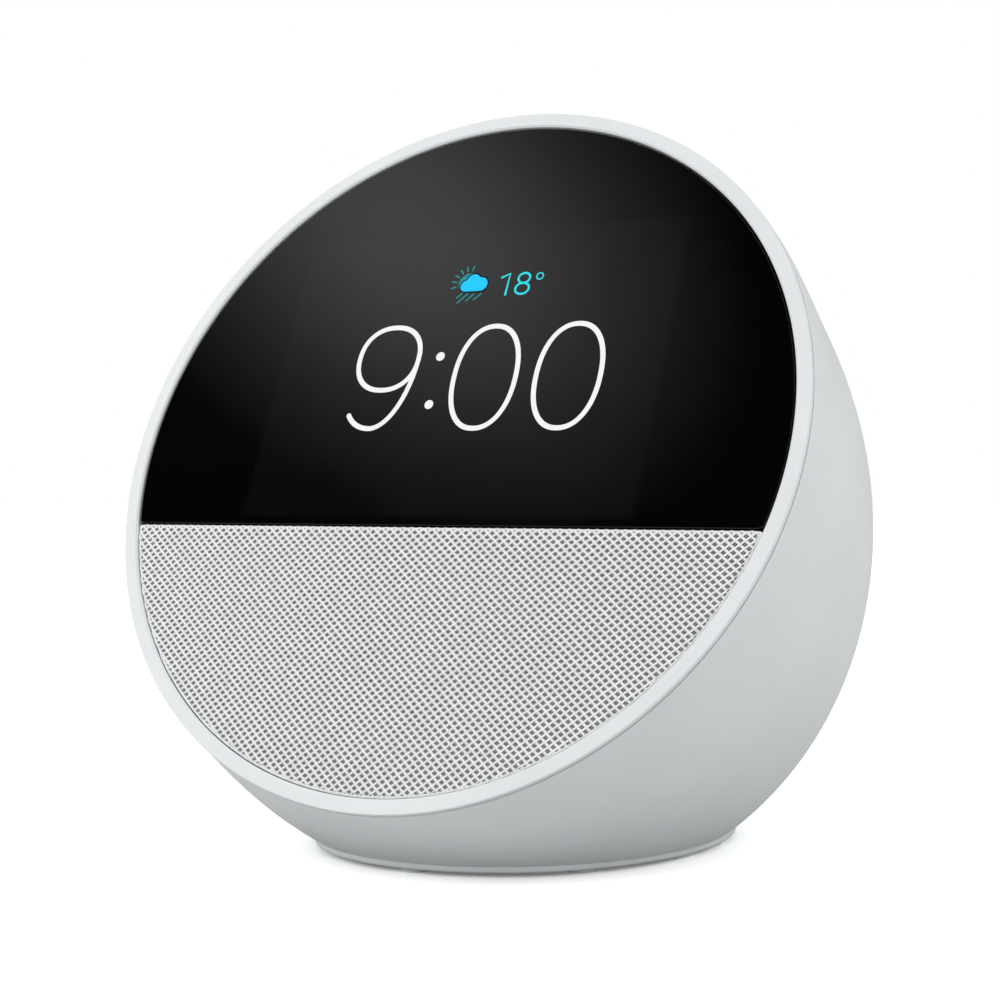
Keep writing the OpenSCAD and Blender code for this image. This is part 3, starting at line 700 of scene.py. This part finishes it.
keep_inside(bm)
bmesh.ops.dissolve_degenerate(bm, edges=bm.edges, dist=SMALLEST_EDGE)
scraps = [f for f in bm.faces if f.calc_area() < SMALLEST_CELL * MESH_HALF[0] * MESH_HALF[1]]
bmesh.ops.delete(bm, geom=scraps, context="FACES")
bmesh.ops.recalc_face_normals(bm, faces=bm.faces)
if bm.faces[:][0].normal.z < 0:
    bmesh.ops.reverse_faces(bm, faces=bm.faces)
holes = bmesh.ops.inset_individual(
    bm, faces=bm.faces[:], thickness=THREAD_HALF, depth=-THREAD_CROWN, use_even_offset=True,
)
centres = [f for f in bm.faces if f not in set(holes["faces"])]
bmesh.ops.delete(bm, geom=centres, context="FACES")
keep_inside(bm)
net = fit_piece("grille_cloth_net", bm, cloth_white,
                on_face(-GLASS_SINK - NET_DEPTH + THREAD_CROWN),
                stands_for=["grille_cloth"], smooth_below=80)
threaded(net, THREAD_THICK)

bm = bmesh.new()
columns = int(inner_r / MESH_HALF[0])
for column in range(-columns, columns + 1):
    x = column * MESH_HALF[0]
    low = -math.sqrt(inner_r ** 2 - x ** 2)
    length = inner_line - low
    if length > YARN_SHORTEST:
        yarn = bmesh.new()
        bmesh.ops.create_grid(yarn, x_segments=1, y_segments=round(length / YARN_STEP), size=0.5)
        bmesh.ops.scale(yarn, vec=(2 * YARN_HALF, length, 1), verts=yarn.verts)
        for v in yarn.verts:
            v.co.y += low + length / 2
            wave = math.pi * (v.co.y / MESH_HALF[1] + column)
            v.co.x += x + YARN_SHIFT + YARN_SWAY * math.sin(wave)
            v.co.z = YARN_RISE * math.cos(wave)
        part = bpy.data.meshes.new("yarn")
        yarn.to_mesh(part)
        yarn.free()
        bm.from_mesh(part)
        bpy.data.meshes.remove(part)
yarns = fit_piece("grille_cloth_yarns", bm, shaded_yarn_grey,
                  on_face(-GLASS_SINK - YARN_DEPTH), smooth_below=80)
threaded(yarns, YARN_HALF)

bm = cut_disc(CLOTH_R - HEM_R, CLOTH_LINE - HEM_R, False, CLOTH_CORNER)
path = [corner.vert.co.xy for corner in bm.faces[:][0].loops]
bm.free()
hem = fit_piece("grille_cloth_hem", wire([(path, True)], HEM_R), cloth_white,
                on_face(-GLASS_SINK - HEM_DEPTH), smooth_below=80)
hem.modifiers.clear()


# ---- Rear shell ----
# The domed housing, one pale moulding. Its waist is straight behind the ring, then it closes
# in one long arc to a rounded tail. Three button holes, two microphone holes and the power
# socket's well are moulded in it.

BODY_LEAN = math.radians(10.6)
NOSE = 3 * MM
WAIST = 13.5 * MM
SHOULDER_R = 84 * MM
TAIL = 86 * MM
WALL = 2.2 * MM
SHELL_FLOOR = 1.6 * MM
LIP_BLEND = 16 * MM
OUTER_SKIN = 0.3 * WALL
NOSE_R = math.hypot(RING_R, NOSE)
MOUTH_R = 55.3 * MM
MOUTH_DEPTH = 6.2 * MM
MOUTH_CLEAR = 20 * MM
HOLE_DEPTH = 6 * MM
HOLE_CLEAR = 3 * MM
BUTTON_HOLE_R = 4.8 * MM
BUTTON_STEP = 16.5
BUTTON_BACK = 7.5 * MM
MICROPHONE_STEP = 46
MICROPHONE_HOLE_R = 0.6 * MM
WELL_R = 5.8 * MM
WELL_WALL = 1.4 * MM
WELL_INSET = 0.4 * WALL
WELL_LENGTH = 20 * MM
WELL_CLEAR = 30 * MM
JACK_HOLE_R = 4.2 * MM
JACK_HOLE_DEPTH = 4 * MM
JACK_HOLE_CLEAR = 5 * MM

shoulder_at = NOSE_R - SHOULDER_R
run = TAIL - WAIST
tail_r = (run ** 2 + shoulder_at ** 2 - SHOULDER_R ** 2) / (2 * (run - SHOULDER_R))
tail_at = TAIL - tail_r
join = math.degrees(math.atan2(tail_at - WAIST, -shoulder_at))
at_body = at_face @ Matrix.Translation((0, 0, -NOSE)) @ Matrix.Rotation(math.pi - BODY_LEAN, 4, "X")


def dome(inset, first=-22):
    """Half outline of the body from the face to the tail, pulled in by an inset."""
    nose_r, shoulder_r, tail_in = NOSE_R - inset, SHOULDER_R - inset, tail_r - inset
    yield from arc((0, 0), (nose_r, nose_r), first, 0, 14)
    yield from [(nose_r, WAIST * i / 6) for i in range(1, 6)]
    yield from arc((shoulder_at, WAIST), (shoulder_r, shoulder_r), 0, join, 34)
    yield from list(arc((0, tail_at), (tail_in, tail_in), join, 90, 30))[1:-1]
    yield (0, tail_at + tail_in)


def cut_away(bm, point, way):
    """Cuts off what lies beyond a plane and closes the cut wall between its two rims."""
    cut = bmesh.ops.bisect_plane(
        bm, geom=bm.verts[:] + bm.edges[:] + bm.faces[:], dist=1e-7, plane_co=point, plane_no=way,
        clear_outer=True,
    )
    rim = [e for e in cut["geom_cut"] if isinstance(e, bmesh.types.BMEdge)]
    bmesh.ops.bridge_loops(bm, edges=rim)


def blank(name, bm):
    """A rough object to be cut, made of a bmesh."""
    mesh = bpy.data.meshes.new(name)
    bm.to_mesh(mesh)
    bm.free()
    thing = bpy.data.objects.new(name, mesh)
    bpy.context.scene.collection.objects.link(thing)
    return thing


def taken_off(thing):
    """The bmesh of a rough object, which is removed."""
    bm = bmesh.new()
    bm.from_mesh(thing.data)
    bpy.data.objects.remove(thing)
    return bm


def bool_cut(target, bm, operation):
    """Joins a tool to a piece or cuts it away, and applies the result."""
    tool = blank("tool", bm)
    step = target.modifiers.new("cut", "BOOLEAN")
    step.operation = operation
    step.object = tool
    step.solver = "EXACT"
    bpy.context.view_layer.update()
    finished = target.evaluated_get(bpy.context.evaluated_depsgraph_get())
    result = bpy.data.meshes.new_from_object(finished)
    target.modifiers.remove(step)
    target.data = result
    bpy.data.objects.remove(tool)


def rod(radius, low, high, place, steps=64):
    """A plain round bar between two heights, set in its place."""
    bm = bmesh.new()
    bmesh.ops.create_cone(
        bm, cap_ends=True, segments=steps, radius1=radius, radius2=radius, depth=high - low,
        matrix=place @ Matrix.Translation((0, 0, (low + high) / 2)),
    )
    return bm


def on_waist(step, back=BUTTON_BACK):
    """A place on the waist, in degrees from straight up: Z is outwards and 0 is the surface."""
    return (
        at_body @ Matrix.Rotation(math.radians(step - 90), 4, "Z")
        @ Matrix.Translation((NOSE_R, 0, back)) @ Matrix.Rotation(math.pi / 2, 4, "Y")
    )


inlet = next(m for m in frame["record"]["mounts"] if m["name"] == "power_inlet")
at_inlet = Matrix.Translation(inlet["pos_m"]) @ Matrix.Rotation(-math.pi / 2, 4, "X")

thick = [*dome(0), *reversed(list(dome(WALL)))]
bm = turned(thick, 224)
bmesh.ops.transform(bm, matrix=at_face.inverted() @ at_body, verts=bm.verts)
for v in bm.verts:
    depth = -v.co.z - RING_LIP - SEAM
    radius = v.co.xy.length
    if depth < LIP_BLEND and radius > RING_R - OUTER_SKIN:
        reach = -math.sin(BODY_LEAN) * v.co.y * RING_R / radius - math.cos(BODY_LEAN) * NOSE
        proud = max(0, reach) ** 2 / (2 * RING_R)
        left = 1 - min(1, max(0, depth) / LIP_BLEND)
        v.co.xy *= 1 - proud * left * left * (3 - 2 * left) / radius
bmesh.ops.transform(bm, matrix=at_face, verts=bm.verts)
cut_away(bm, at_face @ Vector((0, 0, -RING_LIP - SEAM)), normal)
cut_away(bm, (0, 0, SHELL_FLOOR), (0, 0, -1))
bmesh.ops.recalc_face_normals(bm, faces=bm.faces)
shell = blank("shell", bm)

core = turned(list(dome(WELL_INSET)) + [(0, 0)], 128)
bmesh.ops.transform(core, matrix=at_body, verts=core.verts)
well = blank("well", rod(WELL_R + WELL_WALL, -WELL_WALL, WELL_LENGTH, at_inlet))
bool_cut(well, core, "INTERSECT")
bool_cut(shell, taken_off(well), "UNION")
cuts = [
    rod(WELL_R, 0, WELL_CLEAR, at_inlet, 96),
    rod(JACK_HOLE_R, -JACK_HOLE_DEPTH, JACK_HOLE_CLEAR, at_inlet),
    rod(MOUTH_R, -MOUTH_DEPTH, MOUTH_CLEAR, at_face, 192),
]
for k in (-1, 0, 1):
    cuts.append(rod(BUTTON_HOLE_R, -HOLE_DEPTH, HOLE_CLEAR, on_waist(k * BUTTON_STEP), 96))
for k in (-1, 1):
    cuts.append(rod(MICROPHONE_HOLE_R, -HOLE_DEPTH, HOLE_CLEAR, on_waist(k * MICROPHONE_STEP), 24))
for cut in cuts:
    bool_cut(shell, cut, "DIFFERENCE")
fit_piece("rear_shell_piece", taken_off(shell), pale_plastic,
          stands_for=["rear_shell"], smooth_below=28)


# ---- Buttons ----
# Three round caps on the upper back, moulded in the housing's plastic. Each sits a hair proud
# of the shell and follows its curve, with a flange and a stem inside, and carries a small mark.

BUTTON_R = 4.5 * MM
BUTTON_PROUD = 0.25 * MM
BUTTON_EDGE = 0.25 * MM
CAP_RINGS = (1.5 * MM, 3 * MM)
FLANGE_R = 5.5 * MM
FLANGE_TOP = -2.8 * MM
FLANGE_BOTTOM = -3.6 * MM
STEM_R = 1.6 * MM
STEM_END = -4.6 * MM
BENT_ABOVE = -1 * MM
MARK_WIDTH = 0.34 * MM
MARK_LENGTH = 2.2 * MM
MARK_THICK = 0.04 * MM
MARK_LIFT = 0.01 * MM
MARK_RING = (1.35 * MM, 1.65 * MM)

mark_grey = moulded("button_mark", (0.30, 0.31, 0.32), 0.6)


def follow_waist(bm, above):
    """Bends what lies above a height to the curve of the waist."""
    for v in bm.verts:
        if v.co.z > above:
            v.co.z -= v.co.y ** 2 / (2 * NOSE_R)


edge_centre = (BUTTON_R - BUTTON_EDGE, BUTTON_PROUD - BUTTON_EDGE)
cap = [
    (0, BUTTON_PROUD),
    *((r, BUTTON_PROUD) for r in CAP_RINGS),
    *arc(edge_centre, (BUTTON_EDGE, BUTTON_EDGE), 90, 0, 5),
    (BUTTON_R, FLANGE_TOP),
    (FLANGE_R, FLANGE_TOP),
    (FLANGE_R, FLANGE_BOTTOM),
    (STEM_R, FLANGE_BOTTOM),
    (STEM_R, STEM_END),
    (0, STEM_END),
]
half = MARK_THICK / 2
inner, outer = MARK_RING
ring_section = [(inner, -half), (inner, half), (outer, half), (outer, -half)]
for name, k, bars, ringed in (
    ("volume_down", -1, (90,), False),
    ("microphone_mute", 0, (135,), True),
    ("volume_up", 1, (90, 180), False),
):
    place = on_waist(k * BUTTON_STEP)
    bm = turned(cap, 96, closed=False)
    follow_waist(bm, BENT_ABOVE)
    fit_piece(f"{name}_cap", bm, pale_plastic, place, body=name,
              stands_for=[f"{name}_button"])
    bm = bmesh.new()
    for turn in bars:
        bmesh.ops.create_cube(
            bm, size=1,
            matrix=Matrix.Rotation(math.radians(turn), 4, "Z")
            @ Matrix.Diagonal((MARK_LENGTH, MARK_WIDTH, MARK_THICK, 1)),
        )
    bmesh.ops.subdivide_edges(bm, edges=bm.edges[:], cuts=2, use_grid_fill=True)
    if ringed:
        ring_mark = blank("ring_mark", turned(ring_section, 48))
        bm.from_mesh(ring_mark.data)
        bpy.data.objects.remove(ring_mark)
    follow_waist(bm, BENT_ABOVE)
    fit_piece(f"{name}_mark", bm, mark_grey,
              place @ Matrix.Translation((0, 0, BUTTON_PROUD + MARK_LIFT)), body=name)


# ---- Base plate and foot pads ----
# The plate that closes the shell's mouth, a pale moulding with a rounded lower edge, a step
# that locates it in the shell, and two posts for the power board. Ten clear-grey silicone pads
# are set under its rim, and four screws hold it from below.

BASE_HALF = (31.4 * MM, 37.7 * MM)
END_R = 28.8 * MM
END_OFFSET = 8.9 * MM
PLATE_INSET = 0.12 * MM
PLATE_BOTTOM = 0.6 * MM
PLATE_ROUND = (0.12 * MM, 0.48 * MM)
STEP_INSET = 6.2 * MM
STEP_TOP = 2.6 * MM
STEP_ROUND = (0.1 * MM, 0.05 * MM)
STEP_OVERLAP = 0.3 * MM
POST_R = 2.6 * MM
POST_TOP = 9.2 * MM
POST_OVERLAP = 0.2 * MM
POSTS = ((-6.5 * MM, 28.5 * MM), (6.5 * MM, 28.5 * MM))
SCREWS = ((-24.5 * MM, -11.5 * MM), (24.5 * MM, -11.5 * MM), (-15 * MM, 18.5 * MM), (15 * MM, 18.5 * MM))
SCREW_HOLE_R = 2.5 * MM

plate_low, plate_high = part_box("base_plate")
at_base = Matrix.Translation((0, (plate_low.y + plate_high.y) / 2, 0))
side_r = (END_OFFSET ** 2 + BASE_HALF[0] ** 2 - END_R ** 2) / (2 * (BASE_HALF[0] - END_R))
side_offset = side_r - BASE_HALF[0]
meet = math.degrees(math.atan2(END_OFFSET, side_offset))


def base_outline(inset):
    """The plate's outline: two side arcs and two end arcs that meet smoothly."""
    for centre, radius, start, end, steps in (
        ((-side_offset, 0), side_r, -meet, meet, 24),
        ((0, END_OFFSET), END_R, meet, 180 - meet, 72),
        ((side_offset, 0), side_r, 180 - meet, 180 + meet, 24),
        ((0, -END_OFFSET), END_R, 180 + meet, 360 - meet, 72),
    ):
        yield from list(arc(centre, (radius - inset, radius - inset), start, end, steps))[:-1]


def slab(inset, low, high, roundings):
    """A flat slab of the plate's outline between two heights, rounded above and below."""
    bm = bmesh.new()
    bm.faces.new([bm.verts.new((x, y, 0)) for x, y in base_outline(inset)])
    thicken(bm, high - low, *roundings)
    bmesh.ops.transform(bm, matrix=at_base @ Matrix.Translation((0, 0, high)), verts=bm.verts)
    return bm


plate = blank("plate", slab(PLATE_INSET, PLATE_BOTTOM, SHELL_FLOOR, PLATE_ROUND))
bool_cut(plate, slab(STEP_INSET, SHELL_FLOOR - STEP_OVERLAP, STEP_TOP, STEP_ROUND), "UNION")
for x, y in POSTS:
    at_post = at_base @ Matrix.Translation((x, y, 0))
    bool_cut(plate, rod(POST_R, STEP_TOP - POST_OVERLAP, POST_TOP, at_post), "UNION")
for x, y in SCREWS:
    at_screw = at_base @ Matrix.Translation((x, y, 0))
    bool_cut(plate, rod(SCREW_HOLE_R, 0, SHELL_FLOOR, at_screw), "DIFFERENCE")
fit_piece("base_plate_piece", taken_off(plate), pale_plastic,
          stands_for=["base_plate"])


def give(material, *nodes):
    """Gives CAD nodes their finish."""
    for node in nodes:
        frame["nodes"][node].data.materials.clear()
        frame["nodes"][node].data.materials.append(material)


give(moulded("pad_silicone", (0.78, 0.80, 0.81), 0.5, grain=1800, depth=0.15), "foot_pads")


# ---- Frames behind the face ----
# The grille frame behind the cloth, the frame that carries the glass and the display, the
# speaker's box and basket, and the button carrier. All are black glass-filled mouldings.

dark_plastic = moulded("dark_plastic", (0.022, 0.023, 0.025), 0.55, grain=2200, spread=0.12)
give(dark_plastic, "grille_frame", "face_frame", "speaker_enclosure", "speaker_basket", "button_carrier")


# ---- Foam and rubber ----
# The glass's tape, the foam behind the display, the driver's and the microphones' gaskets,
# and the buttons' rubber tips. They are die-cut or moulded, and pressed between their parts.

give(moulded("tape", (0.012, 0.012, 0.013), 0.5, grain=1200, spread=0.15), "glass_adhesive")
foam = moulded("closed_cell_foam", (0.035, 0.035, 0.037), 0.95, grain=1500, depth=0.7, spread=0.2)
give(foam, "display_foam", "speaker_gasket", "microphone_gaskets")
tips = moulded("rubber_tips", (0.06, 0.06, 0.062), 0.75, grain=1800, depth=0.3, spread=0.1)
give(tips, "volume_down_actuator", "microphone_mute_actuator", "volume_up_actuator")


# ---- Display module ----
# Behind the glass lie clear bonding film, the panel with its fine columns, and the white
# backlight tray. A flat amber ribbon leads from its upper edge to the main board.

COLUMN_PITCH = 0.2 * MM
TRACK_PITCH = 0.5 * MM
WAVE_UNIT = math.pi / 10


def striped(name, low, high, pitch, direction, roughness, metallic=0.0, depth=0.2):
    """Fine parallel lines in the face's own directions, such as tracks or windings."""
    material, tree, shader = empty_finish(name, roughness, metallic)
    lines = add(tree, "ShaderNodeTexWave", Scale=WAVE_UNIT / pitch, Distortion=0.15)
    lines.bands_direction = direction
    tree.links.new(face_coordinates(tree), lines.inputs["Vector"])
    tones = ramp(tree, lines.outputs["Fac"], [(0.35, low), (0.65, high)])
    tree.links.new(tones, shader.inputs["Base Color"])
    matt = add(tree, "ShaderNodeMapRange", To_Min=roughness - 0.06, To_Max=roughness + 0.08)
    tree.links.new(noise(tree, 600, 3), matt.inputs["Value"])
    tree.links.new(matt.outputs["Result"], shader.inputs["Roughness"])
    relief(tree, shader, lines.outputs["Fac"], depth, 0.04 * MM)
    return material


film, tree, shader = empty_finish("bonding_film", 0.08)
shader.inputs["Transmission Weight"].default_value = 1
tree.links.new(ramp(tree, noise(tree, 80, 2), [(0.3, (0.90, 0.93, 0.95)), (0.7, (0.96, 0.98, 0.99))]),
               shader.inputs["Base Color"])
relief(tree, shader, noise(tree, 500, 2), 0.05, 0.02 * MM)
give(film, "optical_adhesive")
give(striped("panel_columns", (0.006, 0.006, 0.008), (0.014, 0.014, 0.018), COLUMN_PITCH, "X", 0.25),
     "display_panel")
give(moulded("backlight_tray", (0.82, 0.83, 0.84), 0.45, grain=900, depth=0.1), "display_backlight")
give(striped("ribbon_tracks", (0.42, 0.20, 0.04), (0.62, 0.36, 0.10), TRACK_PITCH, "X", 0.35, depth=0.4),
     "display_ribbon")


# ---- Steel, copper and aluminium ----
# Pressed and plated metal: the display's bracket, the shields over the chips, the magnet's
# pole pieces, the screws, the heat spreader, the antenna foils and the socket's pin.


def metal(name, colour, roughness, scale=700, stretch=(1, 1, 1), depth=0.12):
    """Bare or plated metal with fine rolling marks and a slight change of tone."""
    material, tree, shader = empty_finish(name, roughness, 1.0)
    marks = noise(tree, scale, 4, stretch)
    tones = [(0.25, tinted(colour, 0.86)), (0.75, tinted(colour, 1.05))]
    tree.links.new(ramp(tree, noise(tree, 90, 3), tones), shader.inputs["Base Color"])
    matt = add(tree, "ShaderNodeMapRange", To_Min=roughness - 0.10, To_Max=roughness + 0.12)
    tree.links.new(marks, matt.inputs["Value"])
    tree.links.new(matt.outputs["Result"], shader.inputs["Roughness"])
    relief(tree, shader, marks, depth, 0.02 * MM)
    return material


rolled = metal("rolled_steel", (0.58, 0.58, 0.57), 0.34, 700, (0.15, 1, 1))
give(rolled, "display_bracket", "processor_shield", "radio_shield")
give(metal("plated_steel", (0.52, 0.52, 0.54), 0.38, 1600),
     "speaker_top_plate", "speaker_yoke", "microphones")
turned_steel = metal("screw_steel", (0.46, 0.46, 0.47), 0.30, 2600, (1, 1, 4))
give(turned_steel, "face_screws", "bracket_screws", "base_screws", "enclosure_screws", "board_screws",
     "carrier_screws", "power_board_screws")
give(metal("pressed_aluminium", (0.76, 0.77, 0.78), 0.42, 900, (1, 0.2, 1)), "heat_spreader")
give(metal("antenna_copper", (0.80, 0.42, 0.24), 0.32, 1200), "antennas")
give(metal("nickel_pin", (0.66, 0.62, 0.54), 0.22, 2000, (1, 0.2, 1)), "power_jack_pin")


# ---- Speaker driver ----
# A small full-range driver: pressed-paper cone and dust cap, rubber surround, an amber
# impregnated-cloth spider, a wound copper coil and a sintered ring magnet.

WIRE_PITCH = 0.18 * MM
SPIDER_WEAVE = 0.35 * MM

paper_black = moulded("pressed_paper", (0.045, 0.045, 0.047), 0.85, grain=1300, depth=0.6, spread=0.25)
give(paper_black, "speaker_cone", "speaker_dust_cap")
give(moulded("surround_rubber", (0.03, 0.03, 0.031), 0.6, grain=1600, depth=0.15, spread=0.1),
     "speaker_surround")
give(striped("impregnated_cloth", (0.44, 0.30, 0.10), (0.66, 0.48, 0.20), SPIDER_WEAVE, "DIAGONAL", 0.8,
             depth=0.6), "speaker_spider")
give(striped("copper_winding", (0.42, 0.16, 0.07), (0.83, 0.42, 0.22), WIRE_PITCH, "Z", 0.28, 1.0, 0.6),
     "speaker_voice_coil")
give(moulded("sintered_magnet", (0.05, 0.05, 0.052), 0.7, grain=1100, depth=0.5, spread=0.2),
     "speaker_magnet")


# ---- Circuit boards ----
# The main board, the button and microphone boards and the power board: green solder mask over
# copper tracks, with black moulded chips, nylon sockets and a soft pad under the heat spreader.

TRACK_ROW = 0.9 * MM
TRACK_RUN = 5.5 * MM
TRACK_WIDTH = 0.09 * MM

mask, tree, shader = empty_finish("solder_mask", 0.32)
tracks = add(
    tree, "ShaderNodeTexBrick", Color1=(0.010, 0.085, 0.045, 1), Color2=(0.012, 0.100, 0.052, 1),
    Mortar=(0.030, 0.170, 0.075, 1), Scale=1, Mortar_Size=TRACK_WIDTH, Brick_Width=TRACK_RUN,
    Row_Height=TRACK_ROW,
)
tree.links.new(face_coordinates(tree), tracks.inputs["Vector"])
tree.links.new(tracks.outputs["Color"], shader.inputs["Base Color"])
gloss = add(tree, "ShaderNodeMapRange", To_Min=0.24, To_Max=0.42)
tree.links.new(noise(tree, 300, 3), gloss.inputs["Value"])
tree.links.new(gloss.outputs["Result"], shader.inputs["Roughness"])
relief(tree, shader, tracks.outputs["Fac"], 0.4, 0.03 * MM)
give(mask, "main_board", "button_board", "microphone_boards", "power_board")
give(moulded("chip_epoxy", (0.018, 0.018, 0.019), 0.5, grain=2400, depth=0.2, spread=0.15),
     "processor", "radio_module", "button_switches")
give(moulded("nylon_socket", (0.74, 0.73, 0.68), 0.5, grain=1500, depth=0.12), "board_connectors")
give(moulded("gap_pad", (0.42, 0.52, 0.66), 0.85, grain=800, depth=0.3, spread=0.08), "thermal_pad")


# ---- Leads and power socket ----
# Black insulated leads run to the speaker and from the socket to the main board. The socket
# is a black moulding with a centre pin, behind a round well in the shell.

give(moulded("lead_insulation", (0.020, 0.020, 0.021), 0.45, grain=1500, depth=0.1, spread=0.12),
     "speaker_lead", "power_lead")
give(moulded("socket_plastic", (0.016, 0.016, 0.017), 0.4, grain=2600, depth=0.15, spread=0.15),
     "power_jack")
